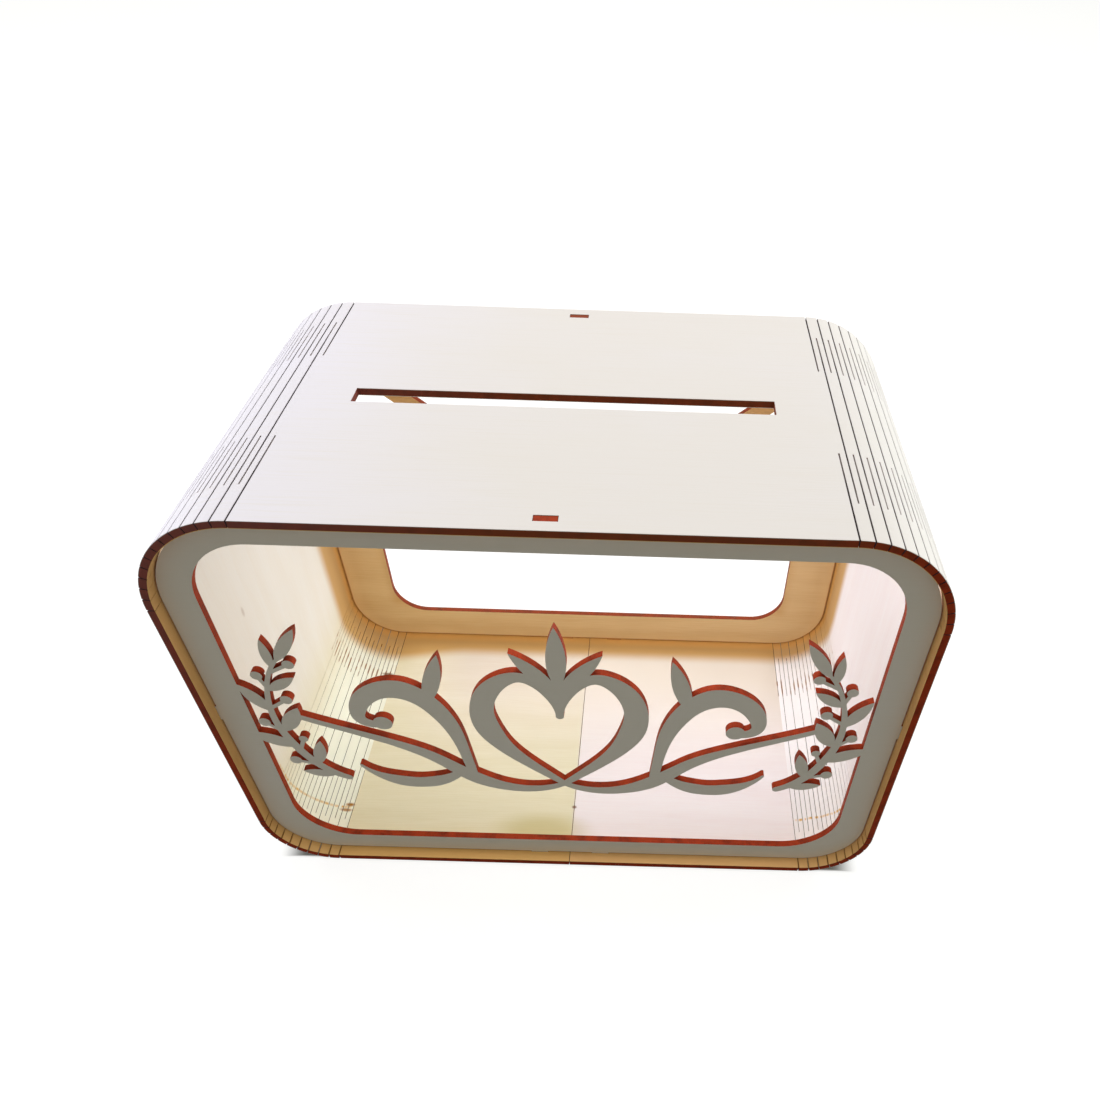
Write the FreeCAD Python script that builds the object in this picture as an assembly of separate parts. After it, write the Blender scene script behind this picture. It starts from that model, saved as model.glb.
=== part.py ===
import FreeCAD, Part
import math
import os

# Overall size of the box, in millimetres, with the origin under its middle and the front towards -Y
WIDTH = 280.0
DEPTH = 160.0
HEIGHT = 200.0
SHEET = 3.0

# Outside radius of the band's upper and lower corners
TOP_RADIUS = 40.0
FOOT_RADIUS = 30.0

# Living hinges: edge slits start at both long edges, middle slits lie between them, and bending flares them
SLIT_PITCH = 5.2
SLIT_INSIDE_WIDTH = 0.28
SLIT_OUTSIDE_WIDTH = 0.6
EDGE_SLIT_LENGTH = 50.0
MIDDLE_SLIT_MARGIN = 20.0

# Openings and seam of the band
CARD_SLOT_LENGTH = 160.0
CARD_SLOT_WIDTH = 10.0
SEAM_GAP = 0.3

# How the two frames sit in the band
FRAME_RECESS = 5.0
FRAME_GAP = 0.6
TAB_WIDTH = 8.0
TAB_GAP = 0.15
TAB_SINK = 0.2
SIDE_TAB_HEIGHT = 100.0
FOOT_TAB_SPACING = 29.0

# Front frame
FRONT_SIDE_BORDER = 12.2
FRONT_RAIL = 9.7
FRONT_OPENING_RADIUS = 25.0

# Back frame
BACK_SIDE_BORDER = 24.7
BACK_RAIL = 18.7
BACK_OPENING_RADIUS = 17.5
# Two strips cross the opening like the flap of an envelope, from its upper corners to its middle
FLAP_WIDTH = 8.0
FLAP_TOP_SPREAD = 220.0
FLAP_TIP_HEIGHT = 90.0

# Leaf sprigs: every point is (distance in from the opening's side, height above the opening's middle)
LEFT_SPRIG_INSET = -1.6
RIGHT_SPRIG_INSET = 0.0
STALK_WIDTH = 1.7
STEM = [
    (32.0, -41.0, 3.4),
    (24.0, -35.5, 4.0),
    (14.5, -20.0, 4.0),
    (10.6, -3.0, 2.9),
    (12.4, 14.0, 2.1),
    (17.2, 26.6, 1.8),
    (21.2, 32.2, 1.4),
]
# Each leaf runs from its base to its tip, and the last value drives its width
TAIL_LEAF = (13.0, -10.5, 21.6, 4.4, 7.2)
LEAVES = [
    (26.5, -39.5, 13.2, -37.2, 5.0),
    (21.5, -32.0, 25.4, -16.3, 5.6),
    (16.0, -20.5, -3.5, -11.5, 6.8),
    TAIL_LEAF,
    (10.8, 2.0, 1.3, 17.6, 6.2),
    (13.0, 14.3, 24.8, 22.2, 5.2),
    (20.2, 30.6, 31.4, 48.2, 5.4),
    (18.0, 27.0, 17.4, 42.4, 4.2),
]
# Each berry has a stalk foot, a centre and a radius
BERRIES = [
    (19.8, -32.0, 12.0, -29.7, 2.5),
    (16.4, -21.5, 18.9, -15.2, 1.9),
    (11.6, -10.5, 5.9, -5.0, 2.4),
    (11.2, 4.0, 18.4, 9.0, 2.4),
    (13.0, 16.0, 10.7, 22.7, 2.3),
    (17.0, 25.0, 24.6, 29.3, 2.3),
]

# Poles of a leaf's curved sides: (share of its length, share of its width)
LEAF_FULL_POLE = (0.3, 0.78)
LEAF_FINE_POLE = (0.75, 0.5)

# Heart and scrolls between the sprigs: every stroke point is (share of the half span, height, width)
HEART_LOBE = [
    (0.0, -41.0, 3.0),
    (0.15, -26.0, 5.6),
    (0.285, -4.0, 10.5),
    (0.265, 17.0, 8.8),
    (0.14, 26.0, 5.4),
    (0.04, 17.0, 4.0),
    (0.0, 6.0, 3.4),
]
WAVE = [
    (0.0, -41.0, 3.0),
    (0.17, -45.5, 4.8),
    (0.36, -39.0, 7.6),
    (0.52, -25.0, 6.0),
    (0.68, -15.5, 4.2),
    (0.84, -8.5, 3.2),
    (1.01, -1.0, 2.8),
]
SCROLL = [
    (0.37, -38.0, 3.6),
    (0.40, -16.0, 5.2),
    (0.46, 4.0, 8.2),
    (0.595, 17.0, 10.4),
    (0.75, 9.5, 8.0),
    (0.77, -1.5, 5.2),
    (0.69, -3.5, 4.2),
]
FLICK = [
    (0.42, -34.0, 3.6),
    (0.54, -42.0, 7.0),
    (0.67, -42.5, 7.2),
    (0.83, -32.0, 1.4),
]
SPROUT_STALK = [
    (0.0, 4.0, 3.4),
    (0.0, 18.5, 7.2),
    (0.0, 25.0, 4.6),
]
# Leaves of the flourish, (share of the half span, height) of base and tip, then the width
SPROUT_MIDDLE_LEAF = (0.0, 20.0, 0.0, 53.0, 8.0)
SPROUT_SIDE_LEAF = (0.0, 18.0, 0.17, 39.0, 6.6)
SCROLL_LEAF = (0.50, 9.0, 0.425, 37.0, 7.0)
SCROLL_EYE_RADIUS = 3.9

# How far cutting shapes reach past what they cut
OVERCUT = 1.0

INSIDE_HALF = WIDTH / 2 - SHEET
FRAME_HALF = INSIDE_HALF - FRAME_GAP
FRAME_LOW = SHEET + FRAME_GAP
FRAME_HIGH = HEIGHT - SHEET - FRAME_GAP
FRONT_Y = -DEPTH / 2 + FRAME_RECESS
BACK_Y = DEPTH / 2 - FRAME_RECESS - SHEET
MIDDLE_Z = (FRAME_LOW + FRAME_HIGH) / 2


def flat(x, z):
    """Point of the plane y = 0, in which every outline is drawn."""
    return FreeCAD.Vector(x, 0, z)


def corners():
    """Centre, radius, first angle and number of bent strips of the four corners, anticlockwise."""
    places = [
        (1, HEIGHT - TOP_RADIUS, TOP_RADIUS, 0),
        (-1, HEIGHT - TOP_RADIUS, TOP_RADIUS, 90),
        (-1, FOOT_RADIUS, FOOT_RADIUS, 180),
        (1, FOOT_RADIUS, FOOT_RADIUS, 270),
    ]
    found = []
    for side, z, radius, start in places:
        pitches = max(1, round(math.radians(90) * radius / SLIT_PITCH))
        found.append((side * (WIDTH / 2 - radius), z, radius, start, 2 * pitches))
    return found


def band_face(inset):
    """Filled outline of the band, which is straight between the slits of each corner."""
    points = []
    for x, z, radius, start, strips in corners():
        for step in range(strips + 1):
            angle = math.radians(start + 90 * step / strips)
            reach = radius - inset
            points.append(flat(x + reach * math.cos(angle), z + reach * math.sin(angle)))
    points.append(points[0])
    return Part.Face(Part.makePolygon(points))


def slit(x, z, radius, degrees, first_y, last_y):
    """Slit through the sheet, square to a corner's arc, wider on the outside."""
    flare = (SLIT_OUTSIDE_WIDTH - SLIT_INSIDE_WIDTH) / 2 * OVERCUT / SHEET
    narrow = SLIT_INSIDE_WIDTH / 2 - flare
    wide = SLIT_OUTSIDE_WIDTH / 2 + flare
    inner = radius - SHEET - OVERCUT
    outer = radius + OVERCUT
    points = [flat(inner, -narrow), flat(outer, -wide), flat(outer, wide), flat(inner, narrow)]
    tool = Part.Face(Part.makePolygon(points + points[:1])).extrude(FreeCAD.Vector(0, last_y - first_y, 0))
    tool.rotate(FreeCAD.Vector(0, 0, 0), FreeCAD.Vector(0, -1, 0), degrees)
    tool.translate(FreeCAD.Vector(x, first_y, z))
    return tool


def hinge_slits():
    """All slits of the four living hinges, edge slits and middle slits by turns."""
    front = -DEPTH / 2
    back = DEPTH / 2
    tools = []
    for x, z, radius, start, strips in corners():
        for step in range(strips + 1):
            degrees = start + 90 * step / strips
            if step % 2:
                first = front + MIDDLE_SLIT_MARGIN
                last = back - MIDDLE_SLIT_MARGIN
                tools.append(slit(x, z, radius, degrees, first, last))
            else:
                tools.append(slit(x, z, radius, degrees, front - OVERCUT, front + EDGE_SLIT_LENGTH))
                tools.append(slit(x, z, radius, degrees, back - EDGE_SLIT_LENGTH, back + OVERCUT))
    return tools


def tab_places():
    """Middle of each tab on the band's outer face, and the tab's outward direction."""
    return [
        (0.0, HEIGHT, 0, 1),
        (-WIDTH / 2, SIDE_TAB_HEIGHT, -1, 0),
        (WIDTH / 2, SIDE_TAB_HEIGHT, 1, 0),
        (-FOOT_TAB_SPACING / 2, 0.0, 0, -1),
        (FOOT_TAB_SPACING / 2, 0.0, 0, -1),
    ]


def tab_block(place, sink, reach, spread):
    """Corners of a tab's rectangle, from its end to its root inside the band."""
    x, z, out_x, out_z = place
    half = TAB_WIDTH / 2 + spread
    ends = [-sink, -reach]
    xs = sorted([x + out_x * e for e in ends]) if out_x else [x - half, x + half]
    zs = sorted([z + out_z * e for e in ends]) if out_z else [z - half, z + half]
    return xs, zs


def tab_slots(frame_y):
    """Slots through the band for one frame's tabs."""
    tools = []
    for place in tab_places():
        xs, zs = tab_block(place, -OVERCUT, SHEET + OVERCUT, TAB_GAP)
        tools.append(
            Part.makeBox(
                xs[1] - xs[0],
                SHEET + 2 * TAB_GAP,
                zs[1] - zs[0],
                FreeCAD.Vector(xs[0], frame_y - TAB_GAP, zs[0]),
            )
        )
    return tools


def wrap_band():
    """Top, sides and floor in one sheet, with its hinges, slots and seam."""
    ring = band_face(0).cut(band_face(SHEET))
    sheet = ring.extrude(FreeCAD.Vector(0, DEPTH, 0))
    sheet.translate(FreeCAD.Vector(0, -DEPTH / 2, 0))
    card_slot = Part.makeBox(
        CARD_SLOT_LENGTH,
        CARD_SLOT_WIDTH,
        SHEET + 2 * OVERCUT,
        FreeCAD.Vector(-CARD_SLOT_LENGTH / 2, -CARD_SLOT_WIDTH / 2, HEIGHT - SHEET - OVERCUT),
    )
    seam = Part.makeBox(
        SEAM_GAP,
        DEPTH + 2 * OVERCUT,
        SHEET + 2 * OVERCUT,
        FreeCAD.Vector(-SEAM_GAP / 2, -DEPTH / 2 - OVERCUT, -OVERCUT),
    )
    tools = hinge_slits() + tab_slots(FRONT_Y) + tab_slots(BACK_Y) + [card_slot, seam]
    return sheet.cut(tools)


def rounded_face(half, low, high, foot_radius, top_radius):
    """Filled rectangle with rounded upper and lower corners, drawn anticlockwise from the right side."""
    diagonal = math.sqrt(0.5)
    edges = []
    last = None
    for side, up in ((1, 1), (-1, 1), (-1, -1), (1, -1)):
        radius = top_radius if up > 0 else foot_radius
        rail = high if up > 0 else low
        x = side * (half - radius)
        z = rail - up * radius
        ends = [flat(side * half, z), flat(x, rail)]
        if side != up:
            ends.reverse()
        bend = flat(x + side * radius * diagonal, z + up * radius * diagonal)
        if last:
            edges.append(Part.LineSegment(last, ends[0]).toShape())
        edges.append(Part.Arc(ends[0], bend, ends[1]).toShape())
        last = ends[1]
    edges.append(Part.LineSegment(last, flat(half, high - top_radius)).toShape())
    return Part.Face(Part.Wire(edges))


def rectangle_face(xs, zs):
    """Filled upright rectangle."""
    points = [flat(xs[0], zs[0]), flat(xs[1], zs[0]), flat(xs[1], zs[1]), flat(xs[0], zs[1])]
    return Part.Face(Part.makePolygon(points + points[:1]))


def frame_blank():
    """Frame outline with its five tabs, before its opening is cut."""
    plate = rounded_face(
        FRAME_HALF,
        FRAME_LOW,
        FRAME_HIGH,
        FOOT_RADIUS - SHEET - FRAME_GAP,
        TOP_RADIUS - SHEET - FRAME_GAP,
    )
    tabs = []
    for place in tab_places():
        root = SHEET + FRAME_GAP + OVERCUT
        tabs.append(rectangle_face(*tab_block(place, TAB_SINK, root, 0.0)))
    return plate.fuse(tabs)


def opening(border, rail, radius):
    """Filled outline of a frame's opening."""
    return rounded_face(FRAME_HALF - border, FRAME_LOW + rail, FRAME_HIGH - rail, radius, radius)


def flap():
    """Filled V of the two flap strips, as high as the frame at its ends."""
    slope = (FRAME_HIGH - BACK_RAIL - FLAP_TIP_HEIGHT) / (FLAP_TOP_SPREAD / 2)
    rise = FLAP_WIDTH / 2 * math.hypot(1, slope)
    reach = (FRAME_HIGH - FLAP_TIP_HEIGHT) / slope
    points = []
    for x, up in ((-reach, 1), (0, 1), (reach, 1), (reach, -1), (0, -1), (-reach, -1)):
        points.append(flat(x, FLAP_TIP_HEIGHT + slope * abs(x) + up * rise))
    return Part.Face(Part.makePolygon(points + points[:1]))


def stroke(points):
    """Pen stroke of changing width along a smooth line, with round ends."""
    line = Part.BSplineCurve()
    line.interpolate([flat(x, z) for x, z, _ in points])
    spots = [line.parameter(flat(x, z)) for x, z, _ in points]
    samples = []
    for index, (_, _, width) in enumerate(points):
        samples.append((spots[index], width / 2))
        if index + 1 < len(points):
            samples.append(((spots[index] + spots[index + 1]) / 2, (width + points[index + 1][2]) / 4))
    left = []
    right = []
    for spot, half in samples:
        along = line.tangent(spot)[0]
        across = FreeCAD.Vector(-along.z, 0, along.x)
        left.append(line.value(spot) + across * half)
        right.append(line.value(spot) - across * half)
    start_tip = line.value(samples[0][0]) - line.tangent(samples[0][0])[0] * samples[0][1]
    end_tip = line.value(samples[-1][0]) + line.tangent(samples[-1][0])[0] * samples[-1][1]
    left_side = Part.BSplineCurve()
    left_side.interpolate(left)
    right_side = Part.BSplineCurve()
    right_side.interpolate(right[::-1])
    edges = [
        left_side.toShape(),
        Part.Arc(left[-1], end_tip, right[-1]).toShape(),
        right_side.toShape(),
        Part.Arc(right[0], start_tip, left[0]).toShape(),
    ]
    return Part.Face(Part.Wire(edges))


def leaf(base_x, base_z, tip_x, tip_z, width):
    """Pointed leaf, fuller towards its base, from two mirrored curves."""
    base = flat(base_x, base_z)
    length = flat(tip_x, tip_z) - base
    along = FreeCAD.Vector(length).normalize()
    across = FreeCAD.Vector(-along.z, 0, along.x)
    edges = []
    for side in (1, -1):
        poles = [base]
        for along_share, across_share in (LEAF_FULL_POLE, LEAF_FINE_POLE):
            poles.append(base + length * along_share + across * (side * width * across_share))
        curve = Part.BezierCurve()
        curve.setPoles(poles + [base + length])
        edges.append(curve.toShape())
    return Part.Face(Part.Wire(Part.__sortEdges__(edges)))


def disc(x, z, radius):
    """Filled circle."""
    circle = Part.Circle(flat(x, z), FreeCAD.Vector(0, 1, 0), radius)
    return Part.Face(Part.Wire(circle.toShape()))


def sprig(side, inset):
    """One leaf sprig at the left (-1) or right (1) side of the front opening."""
    edge = FRAME_HALF - FRONT_SIDE_BORDER - inset

    def place(u, v):
        return side * (edge - u), MIDDLE_Z + v

    faces = [stroke([(*place(u, v), width) for u, v, width in STEM])]
    for base_u, base_v, tip_u, tip_v, width in LEAVES:
        faces.append(leaf(*place(base_u, base_v), *place(tip_u, tip_v), width))
    for foot_u, foot_v, u, v, radius in BERRIES:
        faces.append(disc(*place(u, v), radius))
        foot_x, foot_z = place(foot_u, foot_v)
        x, z = place(u, v)
        faces.append(stroke([(foot_x, foot_z, STALK_WIDTH), (x, z, STALK_WIDTH)]))
    return faces


def flourish(side, inset):
    """Half of the heart and scrolls, ending on the tip of the sprig's tail leaf."""
    _, _, tip_u, _, _ = TAIL_LEAF
    span = FRAME_HALF - FRONT_SIDE_BORDER - inset - tip_u

    def place(share, height):
        return side * share * span, MIDDLE_Z + height

    faces = []
    for points in (HEART_LOBE, WAVE, SCROLL, FLICK):
        faces.append(stroke([(*place(share, height), width) for share, height, width in points]))
    eye_share, eye_height, _ = SCROLL[-1]
    faces.append(disc(*place(eye_share, eye_height), SCROLL_EYE_RADIUS))
    for base_share, base_height, tip_share, tip_height, width in (SPROUT_SIDE_LEAF, SCROLL_LEAF):
        faces.append(leaf(*place(base_share, base_height), *place(tip_share, tip_height), width))
    return faces


def ornament():
    """Both sprigs, the flourish between them and the sprout on its heart."""
    faces = [stroke([(x, MIDDLE_Z + height, width) for x, height, width in SPROUT_STALK])]
    base_x, base_height, tip_x, tip_height, width = SPROUT_MIDDLE_LEAF
    faces.append(leaf(base_x, MIDDLE_Z + base_height, tip_x, MIDDLE_Z + tip_height, width))
    for side, inset in ((-1, LEFT_SPRIG_INSET), (1, RIGHT_SPRIG_INSET)):
        faces += sprig(side, inset) + flourish(side, inset)
    return faces


def plate(face, y):
    """Sheet of the given outline, with its front face at y."""
    solid = face.extrude(FreeCAD.Vector(0, SHEET, 0))
    solid.translate(FreeCAD.Vector(0, y, 0))
    return solid


def frame(window, y):
    """Frame with its tabs, from which the given window is cut."""
    return plate(frame_blank().cut(window).removeSplitter(), y)


def front_frame():
    """Front frame in one piece with its ornament."""
    border = frame(opening(FRONT_SIDE_BORDER, FRONT_RAIL, FRONT_OPENING_RADIUS), FRONT_Y)
    return border.fuse([plate(face, FRONT_Y) for face in ornament()]).removeSplitter()


def back_frame():
    """Back frame in one piece with its flap strips."""
    window = opening(BACK_SIDE_BORDER, BACK_RAIL, BACK_OPENING_RADIUS)
    return frame(window.cut(flap()), BACK_Y)


os.makedirs("parts", exist_ok=True)
for name, make in (("wrap_band", wrap_band), ("front_frame", front_frame), ("back_frame", back_frame)):
    piece = make()
    piece.exportStep(f"parts/{name}.step")
    print(name, "solids", len(piece.Solids), "valid", piece.isValid(), "volume", round(piece.Volume, 1))
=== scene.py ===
# %% [markdown]
# # A card box of bent plywood
# The real object is three sheets of 3 mm plywood: one long band that wraps round as top, sides and floor,
# and two frames that stand in its front and back. A laser cut them, so every edge is scorched brown.
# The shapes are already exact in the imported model, so this lesson loads them as they are and spends its
# effort on finishes, light and camera. Rebuilding the sheets here would only risk a wrong size.

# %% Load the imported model
import math

import bpy
import numpy as np
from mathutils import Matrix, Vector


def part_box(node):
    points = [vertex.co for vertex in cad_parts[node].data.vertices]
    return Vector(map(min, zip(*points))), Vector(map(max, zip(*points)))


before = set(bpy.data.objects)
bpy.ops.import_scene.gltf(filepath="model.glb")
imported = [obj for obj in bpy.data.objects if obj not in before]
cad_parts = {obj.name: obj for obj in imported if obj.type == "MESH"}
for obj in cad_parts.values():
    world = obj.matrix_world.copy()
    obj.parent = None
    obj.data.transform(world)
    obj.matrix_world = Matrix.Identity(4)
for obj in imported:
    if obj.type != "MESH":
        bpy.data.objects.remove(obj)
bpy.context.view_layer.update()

MILLIMETRES = 1000.0

print("pieces:", sorted(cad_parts))

# %% [markdown]
# ## A small language for materials
# A finish that changes over a surface is a formula of the place on it. In Blender such a formula is a web
# of Math nodes, which is tiring to wire by hand. The first class below wraps one output socket, so that
# plain Python signs such as + and * add the nodes. The second holds the node tree that they are added to.
# The result is an ordinary node material and stays editable.

# %% Fields and recipes
NODES_IN_ROW = 12
NODE_WIDTH = 220
NODE_HEIGHT = 180


class Field:
    """A number that varies over a surface: one output socket in a node tree."""

    def __init__(self, recipe, socket):
        self.recipe = recipe
        self.socket = socket

    def math(self, operation, *others):
        return self.recipe.math(operation, self, *others)

    def __add__(self, other):
        return self.math("ADD", other)

    def __sub__(self, other):
        return self.math("SUBTRACT", other)

    def __rsub__(self, other):
        return self.recipe.math("SUBTRACT", other, self)

    def __mul__(self, other):
        return self.math("MULTIPLY", other)

    def __truediv__(self, other):
        return self.math("DIVIDE", other)

    __radd__ = __add__

    def size(self):
        return self.math("ABSOLUTE")

    def at_least(self, other):
        return self.math("MAXIMUM", other)

    def at_most(self, other):
        return self.math("MINIMUM", other)

    def above(self, limit):
        return self.math("GREATER_THAN", limit)

    def rise(self, low, high):
        """0 up to low, 1 from high on, smooth between them."""
        return self.recipe.ramp(self, low, high)

    def fall(self, low, high):
        """1 up to low, 0 from high on, smooth between them."""
        return 1.0 - self.rise(low, high)


class Recipe:
    """The node tree of a material or of the world, under construction."""

    def __init__(self, owner, shader):
        owner.use_nodes = True
        self.owner = owner
        self.tree = owner.node_tree
        self.shader = self.tree.nodes[shader]
        self.count = 0

    def add(self, kind, **settings):
        """New node of a kind, laid out in rows so that the tree can be read."""
        row, column = divmod(self.count, NODES_IN_ROW)
        node = self.tree.nodes.new(kind)
        node.location = (-NODE_WIDTH * (1 + column), -NODE_HEIGHT * row)
        self.count += 1
        for key, value in settings.items():
            setattr(node, key, value)
        return node

    def feed(self, socket, value):
        """Links a field or a socket, or writes a plain number or colour."""
        if isinstance(value, Field):
            value = value.socket
        if isinstance(value, bpy.types.NodeSocket):
            self.tree.links.new(value, socket)
        else:
            socket.default_value = value

    def set(self, **inputs):
        """Feeds inputs of the main shader, named with _ for each space."""
        for name, value in inputs.items():
            self.feed(self.shader.inputs[name.replace("_", " ")], value)

    def math(self, operation, *values):
        node = self.add("ShaderNodeMath", operation=operation)
        for socket, value in zip(node.inputs, values):
            self.feed(socket, value)
        return Field(self, node.outputs[0])

    def ramp(self, value, low, high):
        node = self.add("ShaderNodeMapRange", interpolation_type="SMOOTHSTEP")
        for name, entry in (("Value", value), ("From Min", low), ("From Max", high)):
            self.feed(node.inputs[name], entry)
        return Field(self, node.outputs["Result"])

    def parts(self, socket):
        node = self.add("ShaderNodeSeparateXYZ")
        self.feed(node.inputs[0], socket)
        return [Field(self, out) for out in node.outputs]

    def place(self):
        """Object coordinates in millimetres, as three fields."""
        coords = self.add("ShaderNodeTexCoord").outputs["Object"]
        return [part * MILLIMETRES for part in self.parts(coords)]

    def facing(self):
        """Outward direction of the surface, as three fields."""
        return self.parts(self.add("ShaderNodeNewGeometry").outputs["True Normal"])

    def noise(self, x, y, z, detail=2.0):
        """Smooth random field around 0.5 with about one hill per unit of its three inputs."""
        spot = self.add("ShaderNodeCombineXYZ")
        for socket, value in zip(spot.inputs, (x, y, z)):
            self.feed(socket, value)
        node = self.add("ShaderNodeTexNoise")
        self.feed(node.inputs["Vector"], spot.outputs[0])
        self.feed(node.inputs["Scale"], 1.0)
        self.feed(node.inputs["Detail"], detail)
        return Field(self, node.outputs[0])

    def waves(self, along, across, hills, layer, detail=2.0, sway=0.0):
        """Noise with so many hills per mm along and across the grain. Each layer is a noise of its own."""
        hills_along, hills_across = hills
        return self.noise(along * hills_along, across * hills_across + sway, layer, detail)

    def mix(self, share, first, second):
        """Colour that goes from first to second as share goes from 0 to 1."""
        node = self.add("ShaderNodeMix", data_type="RGBA", clamp_factor=True)
        self.feed(node.inputs["Factor"], share)
        self.feed(node.inputs["A"], first)
        self.feed(node.inputs["B"], second)
        return node.outputs["Result"]

    def bump(self, height, depth_mm):
        node = self.add("ShaderNodeBump")
        self.feed(node.inputs["Strength"], 1.0)
        self.feed(node.inputs["Distance"], depth_mm / MILLIMETRES)
        self.feed(node.inputs["Height"], height)
        self.set(Normal=node.outputs["Normal"])


def new_finish(name):
    return Recipe(bpy.data.materials.new(name), "Principled BSDF")


def tint(red, green, blue):
    """Linear colour of an sRGB colour given in steps of 255."""
    values = np.array([red, green, blue]) / 255.0
    linear = np.where(values <= 0.04045, values / 12.92, ((values + 0.055) / 1.055) ** 2.4)
    return (*linear.tolist(), 1.0)


print("a mid grey in light units:", [round(v, 3) for v in tint(128, 128, 128)[:3]])

# %% [markdown]
# ## Three finishes that every sheet shares
# Each sheet is white on its show face, raw basswood on the other and scorched along the cut. White paint on
# wood isn't flat: the grain swells a little under it. Basswood is pale with long soft streaks and short
# pores. A laser's edge is dark red-brown, darker in bands, because the beam pulses. Each finish is a
# function that returns a colour, so a piece can mix them by place. Photographs of wood would be quicker,
# but formulas stay sharp at any distance and never repeat.

# %% White paint
WHITE_WARM = tint(234, 228, 228)
WHITE_COOL = tint(238, 234, 249)
WHITE_THIN = tint(231, 223, 219)
PAINT_DRIFT = {"hills": (0.012, 0.02), "layer": 3.0}
DRIFT_RANGE = 0.6
PAINT_STREAK = {"hills": (0.03, 0.9), "layer": 7.0, "detail": 3.0}
PAINT_STREAK_LIMITS = (0.45, 0.8)
PAINT_STREAK_SHARE = 0.35


def white_paint(recipe, cool_share, along, across):
    """White that drifts from warm to cool, with thin streaks where the grain shows through."""
    drift = recipe.waves(along, across, **PAINT_DRIFT) * DRIFT_RANGE - DRIFT_RANGE / 2
    streak = recipe.waves(along, across, **PAINT_STREAK).rise(*PAINT_STREAK_LIMITS)
    colour = recipe.mix(cool_share + drift, WHITE_WARM, WHITE_COOL)
    return recipe.mix(streak * PAINT_STREAK_SHARE, colour, WHITE_THIN)


print("white paint: grain about", round(1.0 / PAINT_STREAK["hills"][1], 1), "mm apart shows through")

# %% Raw basswood
WOOD_SWAY = {"hills": (0.015, 0.03), "layer": 1.0}
SWAY_RANGE = 6.0
BAND_SWAY = 0.25
WOOD_BANDS = {"hills": (0.006, 0.11), "layer": 5.0}
BAND_LIMITS = (0.3, 0.7)
BAND_SHARE = 0.4
WOOD_STREAKS = {"hills": (0.05, 1.6), "layer": 9.0, "detail": 3.0}
STREAK_LIMITS = (0.35, 0.7)
STREAK_SHARE = 0.35
WOOD_PORES = {"hills": (0.35, 3.2), "layer": 13.0}
PORE_LIMITS = (0.64, 0.74)
PORE_SHARE = 0.3


def basswood(recipe, along, across, pale, deep):
    """Pale wood: growth bands about 9 mm apart, streaks under a millimetre and short darker pores."""
    sway = recipe.waves(along, across, **WOOD_SWAY) * SWAY_RANGE
    bands = recipe.waves(along, across, **WOOD_BANDS, sway=sway * BAND_SWAY).rise(*BAND_LIMITS)
    streaks = recipe.waves(along, across, **WOOD_STREAKS, sway=sway).rise(*STREAK_LIMITS)
    pores = recipe.waves(along, across, **WOOD_PORES).rise(*PORE_LIMITS)
    share = bands * BAND_SHARE + streaks * STREAK_SHARE + pores * PORE_SHARE
    return recipe.mix(share, pale, deep)


print("basswood: growth bands about", round(1.0 / WOOD_BANDS["hills"][1]), "mm apart")

# %% Scorched edge
SCORCH_RED = tint(166, 58, 26)
SCORCH_DARK = tint(108, 38, 18)
BLOTCH_HILLS = 0.2
BLOTCH_DETAIL = 3.0
BLOTCH_LIMITS = (0.4, 0.7)
BLOTCH_SHARE = 0.6
STRIPE_FINE = 2.2
STRIPE_LONG = 0.6
STRIPE_LIMITS = (0.45, 0.75)
STRIPE_SHARE = 0.4


def scorched_edge(recipe, x, y, z):
    """Red-brown burn with blotches about 5 mm long and fine stripes across the cut."""
    blotch = recipe.noise(x * BLOTCH_HILLS, y * BLOTCH_HILLS, z * BLOTCH_HILLS, BLOTCH_DETAIL)
    stripe = recipe.noise(x * STRIPE_FINE, y * STRIPE_LONG, z * STRIPE_FINE)
    share = blotch.rise(*BLOTCH_LIMITS) * BLOTCH_SHARE + stripe.rise(*STRIPE_LIMITS) * STRIPE_SHARE
    return recipe.mix(share, SCORCH_RED, SCORCH_DARK)


print("scorched edge: blotches about", round(1.0 / BLOTCH_HILLS), "mm long")

# %% Sheen and raised grain
MATT_GLOSS = 0.1
RAISED_GRAIN = {"hills": (0.05, 1.6), "detail": 3.0}
GRAIN_DEPTH = 0.05


def wooden(recipe, along, across, layer):
    """Gives a finish little gloss and grain that stands up by a twentieth of a millimetre."""
    recipe.set(Specular_IOR_Level=MATT_GLOSS)
    recipe.bump(recipe.waves(along, across, **RAISED_GRAIN, layer=layer), GRAIN_DEPTH)


print("grain stands up by", GRAIN_DEPTH, "mm")

# %% [markdown]
# ## The band
# The band's two faces follow one outline, a rectangle with rounded corners, 3 mm apart. So the depth of a
# point below that outline tells which face it is on: 0 is the painted skin, 3 mm the raw inside, and what
# lies between is a cut. Painting faces by hand would work too, but there are hundreds of slit walls. The
# formula is the usual signed distance to a rounded rectangle, with one radius above and one below.

# %% Depth below the band's skin
_, band_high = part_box("wrap_band")
HALF_WIDTH = MILLIMETRES * band_high.x
HALF_DEPTH = MILLIMETRES * band_high.y
HALF_HEIGHT = MILLIMETRES * band_high.z / 2
SHEET = 3.0
TOP_RADIUS = 40.0
FOOT_RADIUS = 30.0
TOP_STRIPS = 24.0
FOOT_STRIPS = 18.0
STRIP_WIDTH = TOP_RADIUS * math.pi / 2.0 / TOP_STRIPS


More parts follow.
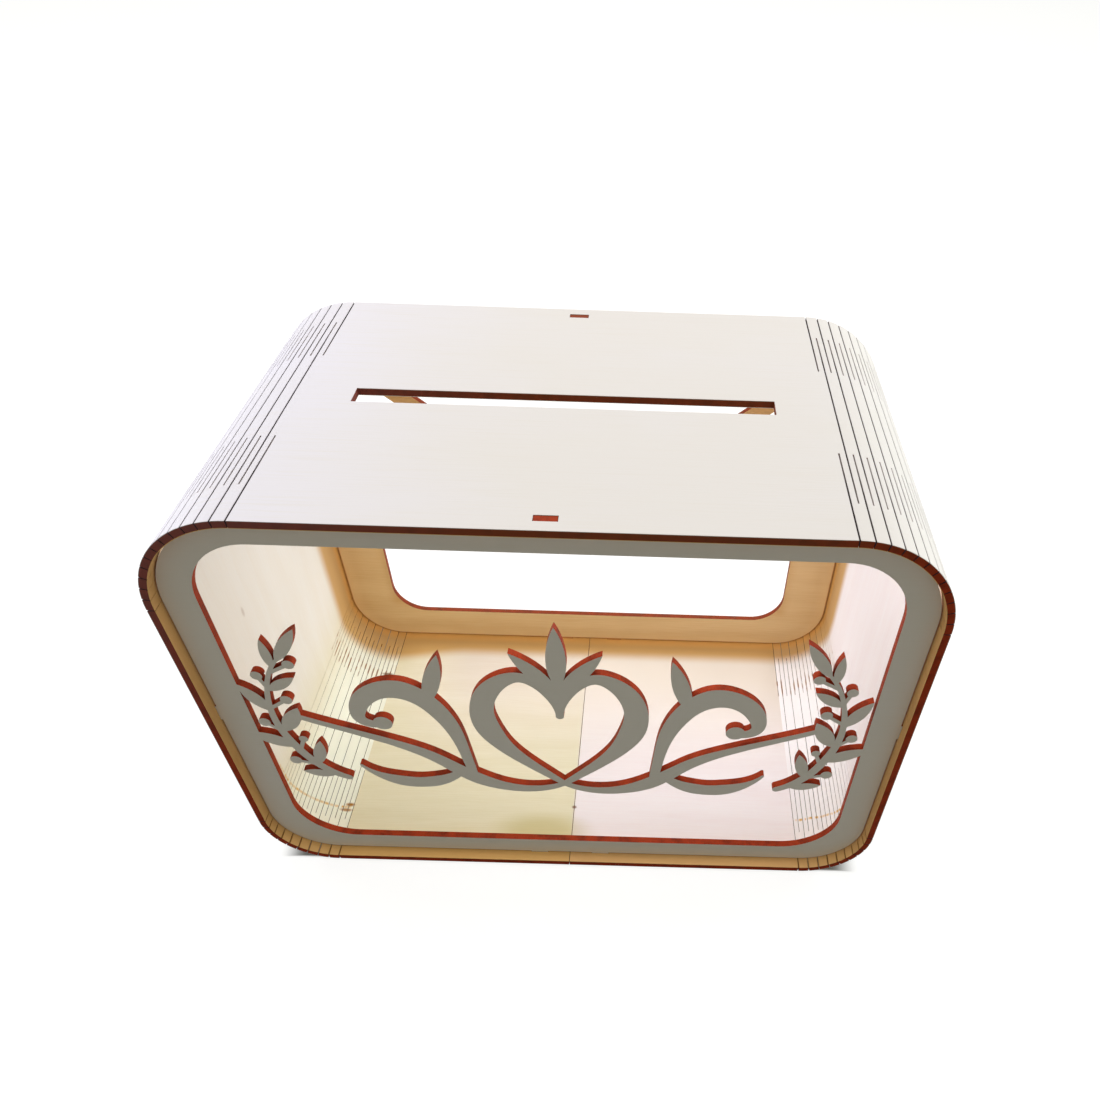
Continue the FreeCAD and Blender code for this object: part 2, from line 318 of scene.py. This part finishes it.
def past_corner(x, z):
    """How far a point lies past the centre of its corner, sideways and up or down.

    The corner's radius and its number of strips come with it.
    """
    height = z - HALF_HEIGHT
    upper = height.above(0.0)
    radius = FOOT_RADIUS + upper * (TOP_RADIUS - FOOT_RADIUS)
    strips = FOOT_STRIPS + upper * (TOP_STRIPS - FOOT_STRIPS)
    return x.size() - (HALF_WIDTH - radius), height.size() - (HALF_HEIGHT - radius), radius, strips


def skin_depth(x, z):
    """Millimetres below the rounded outline: radius minus the distance to the inner rectangle."""
    past_side, past_end, radius, _ = past_corner(x, z)
    reach_side = past_side.at_least(0.0)
    reach_end = past_end.at_least(0.0)
    round_part = (reach_side * reach_side + reach_end * reach_end).math("SQRT")
    flat_part = past_side.at_least(past_end).at_most(0.0)
    return radius - round_part - flat_part


print("bent strips are", round(STRIP_WIDTH, 2), "mm wide")

# %% [markdown]
# ## Slits of the living hinges
# Wood bends where slits leave only thin strips. Some slits reach in from the long edges and the others lie
# between them in the middle, by turns. Bending opens a slit and leaves its end closed, so its walls look
# dark where it gapes. Where it closes they are painted pale, as painted light for the thinner gap there.
# The angle round the corner, counted in strips, tells how far a point is from the nearest slit.

# %% Distance to the slits
EDGE_SLIT = 50.0
MIDDLE_MARGIN = 20.0
EDGE_LEAD = 0.4
SLIT_BLUR = 0.6
EDGE_END = HALF_DEPTH - EDGE_SLIT
MIDDLE_END = HALF_DEPTH - MIDDLE_MARGIN
SLIT_CYCLE = 2.0
MID_CYCLE = 0.5
HALF_STRIP = 0.5


def slit_lines(x, y, z, half_width):
    """Two fields: 1 within a half width of every slit, and the same fading out where a slit closes.

    Even lines reach in from the long edges and odd ones fill the middle. Their ends overlap.
    """
    past_side, past_end, _, strips = past_corner(x, z)
    swing = past_side.math("ARCTAN2", past_end) * (2.0 / math.pi) * strips
    outward = y.size().rise(EDGE_END, MIDDLE_END)
    at_edge = y.size().rise(EDGE_END - EDGE_LEAD, EDGE_END - EDGE_LEAD + SLIT_BLUR)
    in_middle = y.size().fall(MIDDLE_END, MIDDLE_END + SLIT_BLUR)
    lines = 0.0
    gaping = 0.0
    for offset, present, opening in ((MID_CYCLE, at_edge, outward), (0.0, in_middle, 1.0 - outward)):
        cycle = (swing / SLIT_CYCLE + offset).math("FRACT") - MID_CYCLE
        away = cycle.size() * (SLIT_CYCLE * STRIP_WIDTH)
        line = away.fall(half_width / 2.0, half_width) * present
        lines = line + lines
        gaping = line * opening + gaping
    bent = swing.above(-HALF_STRIP) * (strips + HALF_STRIP - swing).above(0.0)
    return lines * bent, gaping * bent


print("edge and middle slits overlap by", round(MIDDLE_END - EDGE_END, 1), "mm")

# %% [markdown]
# ## Marks in the wood, and painted shade at its edges
# No sheet of wood is even. A growth streak runs across the inside of this band, a few knots and stains sit
# in it and the slits are singed where the cutter stopped. Near its long edges the inside is tan with
# painted
# shade: a narrow margin in front and a wide painted shadow of the back frame at the back. A mark is a
# colour mixed in by distance: to a line for a streak, to a centre for a knot. Placing them by number keeps
# them where the real sheet has them, which random noise couldn't do.

# %% Margins of painted shade, a streak and singed slits
FRONT_MARGIN = 9.0
BACK_MARGIN = 22.0
WALL_MARGIN = 29.0
MARGIN_BLUR = 5.0
WALL_FOOT = (5.0, 45.0)
FAR_LEFT = (-115.0, -70.0)
STREAK_LINE = -53.0
WAVER_RANGE = 3.0
WAVER_HILLS = 0.06
WAVER_LAYER = (2.0, 11.0)
DASH_HILLS = 0.5
DASH_LAYER = (2.0, 17.0)
DASH_LIMITS = (0.42, 0.58)
STREAK_EDGE = (0.2, 1.0)
STREAK_ROOT = (109.0, 114.0)
STREAK_TOP = (20.0, 50.0)
SINGED_LINE = 37.0
SINGED_REACH = (3.0, 9.0)
SINGED_FRONT = (-77.0, -74.0)
SINGED_TOP = (40.0, 60.0)
SINGED_HALF_WIDTH = 0.6
SINGED_HILLS = 0.3
SINGED_HILLS_DEEP = 0.12
SINGED_LAYER = 21.0
SINGED_LIMITS = (0.45, 0.6)


def painted_shade_share(x, y, z):
    """Painted shade: 1 close to the long edges, a narrow margin in front and a wide painted shadow of the
    back frame at the back.

    The painted shadow is widest on the walls and at the left end of the floor.
    """
    wider = z.rise(*WALL_FOOT).at_least(x.fall(*FAR_LEFT)) * (WALL_MARGIN - BACK_MARGIN)
    reach = FRONT_MARGIN + y.above(0.0) * (BACK_MARGIN - FRONT_MARGIN + wider)
    return (HALF_DEPTH - y.size() - reach).fall(-MARGIN_BLUR, MARGIN_BLUR)


def streak_share(recipe, x, y, z, run):
    """Wavering line along the sheet where it bends up from the floor, broken into dashes."""
    waver = recipe.noise(run * WAVER_HILLS, *WAVER_LAYER) * WAVER_RANGE - WAVER_RANGE / 2
    dashes = recipe.noise(run * DASH_HILLS, *DASH_LAYER).rise(*DASH_LIMITS)
    line = (y - STREAK_LINE + waver).size().fall(*STREAK_EDGE)
    return line * dashes * x.size().rise(*STREAK_ROOT) * z.fall(*STREAK_TOP)


def singed_share(recipe, x, y, z):
    """Short burns on the slits of the lower corners, near one line across them and at the front edge."""
    spots = recipe.noise(x * SINGED_HILLS, y * SINGED_HILLS_DEEP, z * SINGED_HILLS + SINGED_LAYER)
    near_line = (y - SINGED_LINE).size().fall(*SINGED_REACH)
    burnt = spots.rise(*SINGED_LIMITS) * near_line + y.fall(*SINGED_FRONT)
    lines, _ = slit_lines(x, y, z, SINGED_HALF_WIDTH)
    return lines * burnt * z.fall(*SINGED_TOP)


print("browned margins:", FRONT_MARGIN, "mm in front,", BACK_MARGIN, "to", WALL_MARGIN, "mm at the back")

# %% Oval marks
KNOT = tint(120, 70, 32)
RESIN = tint(176, 118, 30)
OLIVE = tint(200, 190, 128)
MARK_EDGE = (0.25, 1.0)
# Each oval has a centre and half sizes in millimetres, a share and a colour.
MARKS = (
    ((-113.3, 37.8, 3.0), (4.4, 1.7, 9.0), 0.85, KNOT),
    ((-111.8, -51.4, 3.0), (3.2, 1.5, 9.0), 0.95, RESIN),
    ((-113.0, -54.6, 3.0), (4.2, 1.4, 9.0), 0.85, RESIN),
    ((0.0, -49.0, 3.0), (1.6, 1.3, 9.0), 0.85, KNOT),
    ((-137.0, -32.3, 115.6), (9.0, 1.5, 3.6), 0.25, KNOT),
    ((-15.0, -63.0, 3.0), (30.0, 13.0, 9.0), 0.6, OLIVE),
)


def marked(recipe, x, y, z, colour):
    """Colour with every oval mixed in by distance from its centre, in shares of its half sizes."""
    for centre, halves, strength, mark in MARKS:
        squares = 0.0
        for place, middle, half in zip((x, y, z), centre, halves):
            share = (place - middle) / half
            squares = share * share + squares
        colour = recipe.mix(squares.math("SQRT").fall(*MARK_EDGE) * strength, colour, mark)
    return colour


print("oval marks:", len(MARKS))

# %% [markdown]
# ## The band's three sides
# Each side of the band is now a short function. The outside is paint with a trace of smoke along the slits.
# The inside is raw wood, and its two halves differ, because the ends of the sheet meet in the middle of the
# floor. Towards the back the floor is painted darker, as painted shade. The bent strips of the lower
# corners are paler than the flat wood beside them. The cuts are burnt, and the walls of a slit darken where
# it gapes;
# where it closes they are painted pale, as painted light.

# %% Outside of the band
WHITE_FRESH = tint(238, 239, 236)
FRESH_START = 90.0
FRESH_SHARE = 0.5
SMOKE = tint(150, 140, 150)
SMOKE_HALF_WIDTH = 0.7
SMOKE_SHARE = 0.12


def band_outside(recipe, x, y, z, run):
    """White paint, cooler on the left and fresher on the right, with smoke along the open slits."""
    paint = white_paint(recipe, x.fall(-HALF_WIDTH, 0.0), run, y)
    paint = recipe.mix(x.rise(FRESH_START, HALF_WIDTH) * FRESH_SHARE, paint, WHITE_FRESH)
    _, gaping = slit_lines(x, y, z, SMOKE_HALF_WIDTH)
    return recipe.mix(gaping * SMOKE_SHARE, paint, SMOKE)


print("outside: smoke reaches", SMOKE_HALF_WIDTH, "mm from a slit")

# %% Wood inside the band
LEFT_PALE = tint(240, 236, 212)
LEFT_DEEP = tint(230, 224, 192)
RIGHT_PALE = tint(250, 247, 254)
RIGHT_DEEP = tint(245, 236, 243)
BACK_PALE = tint(223, 214, 204)
BACK_DEEP = tint(216, 204, 190)
WALL_PALE = tint(246, 246, 243)
WALL_DEEP = tint(242, 239, 232)
LEFT_STRIP = tint(250, 255, 244)
RIGHT_STRIP = tint(250, 249, 255)
STRIP_SHARE = 0.92
STRIP_FADE = 20.0
SEAM_BLUR = 1.0
TOP_BLUR = 100.0
WALL_RISE = (5.0, 60.0)
BACK_RISE = (-40.0, 50.0)
BACK_START = (-120.0, -60.0)
FLOOR_RISE = (5.0, 40.0)
OTHER_RUN = 400.0
OTHER_ACROSS = 90.0


def bent_foot(x, z):
    """1 on the bent strips of the lower corners, growing from the walls' foot towards the floor."""
    past_side, past_end, _, _ = past_corner(x, z)
    return past_side.above(0.0) * past_end.rise(0.0, STRIP_FADE) * (HALF_HEIGHT - z).above(0.0)


def band_wood(recipe, x, y, z, run):
    """Raw wood of the left and right half, which meet at the seam and blend over the top, with painted
    shade towards the back of the floor.
    """
    seam = z.above(HALF_HEIGHT) * (TOP_BLUR - SEAM_BLUR) + SEAM_BLUR
    right_share = (x / seam).rise(-1.0, 1.0)
    wall_share = z.rise(*WALL_RISE)
    # Towards the back the floor turns pinker, which is the wood's tone, and darker, which is painted shade
    # against the strong light that falls there through the open back.
    back_shade_share = y.rise(*BACK_RISE) * x.rise(*BACK_START)
    left_pale = recipe.mix(wall_share, recipe.mix(back_shade_share, LEFT_PALE, BACK_PALE), WALL_PALE)
    left_deep = recipe.mix(wall_share, recipe.mix(back_shade_share, LEFT_DEEP, BACK_DEEP), WALL_DEEP)
    left = basswood(recipe, run, y, left_pale, left_deep)
    right = basswood(recipe, run + OTHER_RUN, y + OTHER_ACROSS, RIGHT_PALE, RIGHT_DEEP)
    right = recipe.mix(back_shade_share * z.fall(*FLOOR_RISE), right, BACK_PALE)
    wood = recipe.mix(right_share, left, right)
    strip = recipe.mix(right_share, LEFT_STRIP, RIGHT_STRIP)
    return recipe.mix(bent_foot(x, z) * STRIP_SHARE, wood, strip)


print("inside: the halves meet within", SEAM_BLUR, "mm at the seam")

# %% Marks on that wood
PAINTED_SHADE_BACK = tint(202, 158, 88)
PAINTED_SHADE_FRONT = tint(246, 190, 112)
PAINTED_SHADE_STRENGTH = 0.9
# The corner strip below is painted light against the shade where the band meets the back frame.
CORNER_LINE = 72.0
PAINTED_CORNER_LIGHT = tint(240, 186, 106)
CORNER_LIGHT_REACH = 7.0
CORNER_LIGHT_BEYOND = 1.0
CORNER_LIGHT_STRENGTH = 0.8
STREAK = tint(226, 176, 62)
STREAK_STRENGTH = 0.9
SINGED = tint(176, 118, 58)
SINGED_STRENGTH = 0.8


def band_inside(recipe, x, y, z, run):
    """Raw wood with margins of painted shade, a warm strip of painted light before the back frame, the
    streak, burns and ovals.
    """
    wood = band_wood(recipe, x, y, z, run)
    # Painted shade: tan margins near the long edges, in front of the front frame and as the shadow of the
    # back frame.
    shaded = recipe.mix(y.above(0.0), PAINTED_SHADE_FRONT, PAINTED_SHADE_BACK)
    wood = recipe.mix(painted_shade_share(x, y, z) * PAINTED_SHADE_STRENGTH, wood, shaded)
    # Painted light: a warm, light strip just before the back frame, which takes out the shade in the corner
    # where the band meets it.
    before_frame = CORNER_LINE - y
    glow = before_frame.above(-CORNER_LIGHT_BEYOND) * before_frame.fall(0.0, CORNER_LIGHT_REACH)
    wood = recipe.mix(glow * CORNER_LIGHT_STRENGTH, wood, PAINTED_CORNER_LIGHT)
    wood = recipe.mix(streak_share(recipe, x, y, z, run) * STREAK_STRENGTH, wood, STREAK)
    wood = recipe.mix(singed_share(recipe, x, y, z) * SINGED_STRENGTH, wood, SINGED)
    return marked(recipe, x, y, z, wood)


print("inside: a warm strip", CORNER_LIGHT_REACH, "mm wide lies before the back frame")

# %% Cuts of the band
EDGE_BROWN = tint(117, 68, 44)
EDGE_PLUM = tint(122, 82, 82)
BROWN_START = (-115.0, -10.0)
DULL_RISE = (60.0, 190.0)
DULL_END = (75.0, 135.0)
DULL_SHARE = 0.7
SOOT = tint(78, 58, 66)
SLIT_CLOSED_PAINTED_LIGHT = tint(196, 184, 184)
SLIT_WALL_HALF = 1.2
END_FACING = (0.4, 0.6)


def band_cut(recipe, x, y, z, facing_y):
    """Burnt edge, duller at the top, and slit walls from soot where they gape to a pale painted light where
    they close.
    """
    dull = recipe.mix(x.rise(*BROWN_START), EDGE_PLUM, EDGE_BROWN)
    dull_share = z.rise(*DULL_RISE) * x.fall(*DULL_END) * DULL_SHARE
    burn = recipe.mix(dull_share, scorched_edge(recipe, x, y, z), dull)
    walls, open_walls = slit_lines(x, y, z, SLIT_WALL_HALF)
    # Painted light: where a slit closes its walls are pale, standing in for the thinner gap there.
    slit_wall = recipe.mix(open_walls, SLIT_CLOSED_PAINTED_LIGHT, SOOT)
    return recipe.mix(walls * facing_y.size().fall(*END_FACING), burn, slit_wall)


print("cuts: slit walls count up to", SLIT_WALL_HALF, "mm from a slit's middle")

# %% The whole band
SKIN = 0.15
SKIN_END = 0.21
PAINT_ROUGHNESS = 0.5
WOOD_ROUGHNESS = 0.8
ROUGHNESS_DEPTH = (0.2, 1.0)
BAND_LAYER = 2.0


def band_finish():
    recipe = new_finish("band_plywood_finish")
    x, y, z = recipe.place()
    _, facing_y, _ = recipe.facing()
    depth = skin_depth(x, z)
    run = x + z
    outside = band_outside(recipe, x, y, z, run)
    inside = band_inside(recipe, x, y, z, run)
    cut = band_cut(recipe, x, y, z, facing_y)
    faces = recipe.mix(depth.above(SHEET / 2), outside, inside)
    in_cut = depth.rise(SKIN, SKIN_END) * depth.fall(SHEET - SKIN_END, SHEET - SKIN)
    roughness = depth.rise(*ROUGHNESS_DEPTH) * (WOOD_ROUGHNESS - PAINT_ROUGHNESS) + PAINT_ROUGHNESS
    recipe.set(Base_Color=recipe.mix(in_cut, faces, cut), Roughness=roughness)
    wooden(recipe, run, y, BAND_LAYER)
    return recipe.owner


def dress(name, material):
    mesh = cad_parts[name].data
    mesh.materials.clear()
    mesh.materials.append(material)
    print(name, "now wears", material.name, "on", len(mesh.polygons), "faces")


dress("wrap_band", band_finish())

# %% [markdown]
# ## The two frames
# A frame is a flat sheet, so the direction that its surface faces says enough: forward and backward are its
# faces, everything else is a cut. The front frame shows its paint forward and the back frame shows raw wood
# to the inside.

# %% Finishes of the frames
FRAME_PALE = tint(234, 204, 156)
FRAME_DEEP = tint(220, 184, 132)
FRAME_STRIP = tint(206, 158, 100)
STRIP_START = (19.0, 30.0)
FRAME_STRIP_SHARE = 0.7
FRAME_PAINTED_LIGHT = tint(246, 218, 168)
FRAME_LIGHT_REACH = 8.0
FRAME_LIGHT_SHARE = 0.6
RIM_LINE = tint(196, 120, 50)
RIM_EDGE = (0.2, 0.7)
RIM_SHARE = 0.8
RIM_DEPTH = 3.6
FACE_LIMIT = 0.7
FRAME_ROUGHNESS = 0.6
FRAME_LAYER = 4.0


def frame_wood(recipe, x, z):
    """Raw wood, deepest on the strips, with painted light near the rim against the shade of the corner
    where the frame meets the band, and a thin singed line at the rim.
    """
    wood = basswood(recipe, x, z, FRAME_PALE, FRAME_DEEP)
    rim = skin_depth(x, z) - RIM_DEPTH
    wood = recipe.mix(rim.rise(*STRIP_START) * FRAME_STRIP_SHARE, wood, FRAME_STRIP)
    # Painted light: the wood is lightened within a few millimetres of the rim, where the frame meets the
    # band and would lie in shade.
    wood = recipe.mix(rim.fall(0.0, FRAME_LIGHT_REACH) * FRAME_LIGHT_SHARE, wood, FRAME_PAINTED_LIGHT)
    return recipe.mix(rim.fall(*RIM_EDGE) * RIM_SHARE, wood, RIM_LINE)


def frame_finish(name, paint_forward, dull_share):
    """Paint on one face, raw wood on the other, and burnt edges that are dull brown by the given share."""
    recipe = new_finish(name)
    x, y, z = recipe.place()
    _, facing_y, _ = recipe.facing()
    painted = facing_y * -1.0 if paint_forward else facing_y
    paint = white_paint(recipe, 0.0, x, z)
    faces = recipe.mix(painted.above(0.0), frame_wood(recipe, x, z), paint)
    burn = recipe.mix(dull_share, scorched_edge(recipe, x, y, z), EDGE_BROWN)
    on_face = facing_y.size().above(FACE_LIMIT)
    recipe.set(Base_Color=recipe.mix(on_face, burn, faces), Roughness=FRAME_ROUGHNESS)
    wooden(recipe, x, z, FRAME_LAYER)
    return recipe.owner


dress("front_frame", frame_finish("front_plywood_finish", paint_forward=True, dull_share=0.0))
dress("back_frame", frame_finish("back_plywood_finish", paint_forward=False, dull_share=0.5))

# %% [markdown]
# ## Stage
# The box stands on a plain pale floor that fades into white. The floor is a real surface, so it takes the
# soft shadow. A little glow that only the camera sees lifts it to white without more light on the box.

# %% Floor
WHITE = (1.0, 1.0, 1.0, 1.0)
FLOOR_REACH = 4.0
FLOOR_STEPS = 9
FLOOR_SHADE = (0.3, 0.3, 0.3, 1.0)
FLOOR_GLOW = 0.84
SIDE_FADE = 14.0
END_FADE = 1.5


def sheet_mesh(name, points):
    """Mesh of a grid of points, an array of rows x columns x 3, with one face per grid cell."""
    rows, columns, _ = points.shape
    index = np.arange(rows * columns).reshape(rows, columns)
    cells = np.stack([index[:-1, :-1], index[:-1, 1:], index[1:, 1:], index[1:, :-1]], axis=-1)
    mesh = bpy.data.meshes.new(name)
    mesh.from_pydata(points.reshape(-1, 3), [], cells.reshape(-1, 4).tolist())
    mesh.update()
    piece = bpy.data.objects.new(name, mesh)
    bpy.context.scene.collection.objects.link(piece)
    return piece


def seen_directly(recipe):
    """1 for rays from the camera or by way of a mirror or glass, else 0."""
    rays = recipe.add("ShaderNodeLightPath")
    seen = Field(recipe, rays.outputs["Is Camera Ray"])
    for way in ("Is Glossy Ray", "Is Transmission Ray"):
        seen = seen.at_least(Field(recipe, rays.outputs[way]))
    return seen


def floor_finish():
    """Pale matt floor whose glow starts at the box's footprint, so that it stays dark under the box."""
    recipe = new_finish("floor_white")
    x, y, _ = recipe.place()
    past_side = (x.size() - HALF_WIDTH).rise(-SIDE_FADE, 0.0)
    past_end = (y.size() - HALF_DEPTH).rise(-END_FADE, 0.0)
    glow = past_side.at_least(past_end) * FLOOR_GLOW
    recipe.set(Base_Color=FLOOR_SHADE, Roughness=1.0, Specular_IOR_Level=0.0)
    recipe.set(Emission_Color=WHITE, Emission_Strength=seen_directly(recipe) * glow)
    return recipe.owner


steps = np.linspace(-FLOOR_REACH, FLOOR_REACH, FLOOR_STEPS)
across, along = np.meshgrid(steps, steps)
floor = sheet_mesh("floor", np.stack([across, along, np.zeros_like(across)], axis=-1))
floor.data.materials.append(floor_finish())
print("floor reaches", FLOOR_REACH, "m each way")

# %% [markdown]
# ## Light
# The box stands against the light, so its inside is bright and its front frame lies in soft shade. A broad
# key lamp behind and above it lights the top, and a lamp overhead and one at each side even out the white.
# Two small lamps stand for the daylight that falls through the open back: one in the opening itself and one
# under the top. The surroundings are dim, so that the shade in front stays.

# %% Lamps
PLAIN_LIGHT = (1.0, 1.0, 1.0)
COOL_LIGHT = (0.98, 0.98, 1.0)
SKY_LIGHT = (0.95, 0.97, 1.0)
BOX_MIDDLE = (0.0, 0.05, 0.1)


def soft_lamp(name, place, target, size, watts, colour=PLAIN_LIGHT):
    """Rectangular lamp at a place, turned so that it shines at a target."""
    data = bpy.data.lights.new(name, "AREA")
    data.shape = "RECTANGLE"
    data.size, data.size_y = size
    data.energy = watts
    data.color = colour
    lamp = bpy.data.objects.new(name, data)
    lamp.location = place
    bpy.context.scene.collection.objects.link(lamp)
    aside, ahead, up = np.array(target) - np.array(place)
    tilt = math.atan2(math.hypot(aside, ahead), -up)
    turn = math.atan2(ahead, aside) - math.pi / 2
    lamp.rotation_euler = (tilt, 0.0, turn)
    lamp.visible_camera = False
    print(name, "shines with", watts, "W")


soft_lamp("key_lamp", place=(-0.15, 1.3, 2.2), target=(0.0, 0.02, 0.1), size=(1.7, 1.1), watts=27.0,
          colour=COOL_LIGHT)
soft_lamp("top_lamp", place=(0.0, 0.0, 1.6), target=(0.0, 0.001, 0.0), size=(0.8, 0.8), watts=4.7,
          colour=COOL_LIGHT)
soft_lamp("window_lamp", place=(0.012, 0.069, 0.095), target=(0.012, -0.1, 0.095), size=(0.19, 0.125),
          watts=0.07)
soft_lamp("inner_lamp", place=(0.02, -0.035, 0.192), target=(0.02, -0.034, 0.0), size=(0.2, 0.06),
          watts=0.1)
soft_lamp("left_lamp", place=(-1.0, 0.4, 0.4), target=BOX_MIDDLE, size=(0.6, 0.6), watts=4.8,
          colour=SKY_LIGHT)
soft_lamp("right_lamp", place=(1.0, 0.4, 0.35), target=BOX_MIDDLE, size=(0.6, 0.6), watts=6.3)

# %% Surroundings
WORLD_LEVEL = 0.31
WORLD_TINT = (0.96, 0.965, 0.7, 1.0)


def surroundings():
    """World that lights the box dimly and is plain white where it is seen directly."""
    recipe = Recipe(bpy.data.worlds.new("surroundings"), "Background")
    recipe.set(Color=WORLD_TINT, Strength=WORLD_LEVEL)
    white = recipe.add("ShaderNodeBackground")
    recipe.feed(white.inputs["Color"], WHITE)
    choice = recipe.add("ShaderNodeMixShader")
    shares = (seen_directly(recipe), recipe.shader.outputs[0], white.outputs[0])
    for socket, value in zip(choice.inputs, shares):
        recipe.feed(socket, value)
    recipe.feed(recipe.tree.nodes["World Output"].inputs["Surface"], choice.outputs[0])
    return recipe.owner


bpy.context.scene.world = surroundings()
print("surroundings shine at", WORLD_LEVEL, "of full white")

# %% [markdown]
# ## Camera
# The picture is taken from above and slightly from the right, close to the box, with a wide lens. The box
# sits off the picture's middle, so the lens is shifted, which keeps the perspective.

# %% Camera
FRAME_PIXELS = 1100.0
SENSOR_WIDTH = 36.0
FOCAL_PIXELS = 862.6
CENTRE_X = 651.2
CENTRE_Y = 658.9
NEAREST = 0.01
CAMERA_PLACE = (0.0329, -0.2976, 0.3675)
CAMERA_TURN = (44.16, -1.53, 0.90)

lens = bpy.data.cameras.new("camera")
lens.sensor_width = SENSOR_WIDTH
lens.lens = FOCAL_PIXELS / FRAME_PIXELS * SENSOR_WIDTH
lens.shift_x = 0.5 - CENTRE_X / FRAME_PIXELS
lens.shift_y = CENTRE_Y / FRAME_PIXELS - 0.5
lens.clip_start = NEAREST
camera = bpy.data.objects.new("camera", lens)
camera.location = CAMERA_PLACE
camera.rotation_euler = [math.radians(angle) for angle in CAMERA_TURN]
bpy.context.scene.collection.objects.link(camera)
bpy.context.scene.camera = camera
bpy.context.scene.view_settings.view_transform = "Standard"
print("lens", round(lens.lens, 2), "mm, shift", round(lens.shift_x, 3), round(lens.shift_y, 3))
